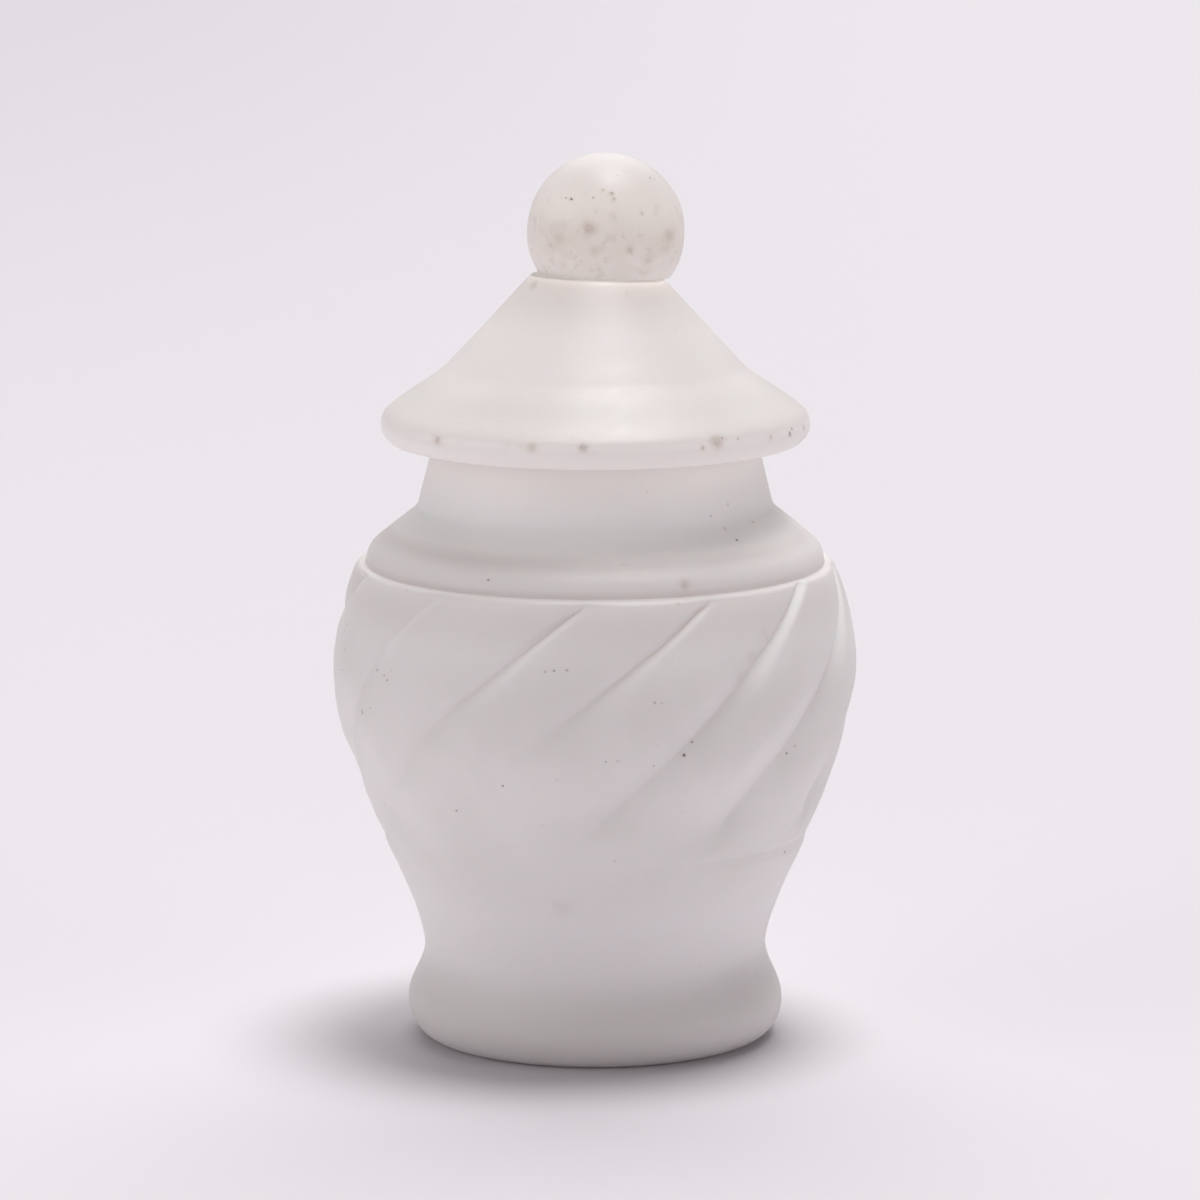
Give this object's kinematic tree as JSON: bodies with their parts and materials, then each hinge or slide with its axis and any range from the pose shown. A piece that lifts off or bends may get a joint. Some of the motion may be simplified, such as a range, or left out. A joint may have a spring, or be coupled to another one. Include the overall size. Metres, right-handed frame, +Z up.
{
  "type": "lidded jar",
  "caption": "Small hollow jar of pale stone with spiral flutes round its belly, a conical lift-off lid and a ball knob.",
  "frame": {"origin": "centre of the underside, on the surface that the jar stands on", "axes": "+Z up along the jar's axis; the side that the picture shows faces -Y; +X to the right in the picture"},
  "size_m": [0.0523, 0.0524, 0.0892],
  "materials": {
    "jar_stone": "pale, slightly translucent stone, smooth and unpolished, with a few dark pits",
    "lid_stone": "pale, slightly translucent stone, smooth and unpolished, with brown specks round the edge",
    "knob_stone": "pale stone, warmer and mottled brown, with a dull polish"
  },
  "bodies": {
    "root": {"jar": "jar_stone", "lid": "lid_stone", "knob": "knob_stone"}
  },
  "joints": []
}
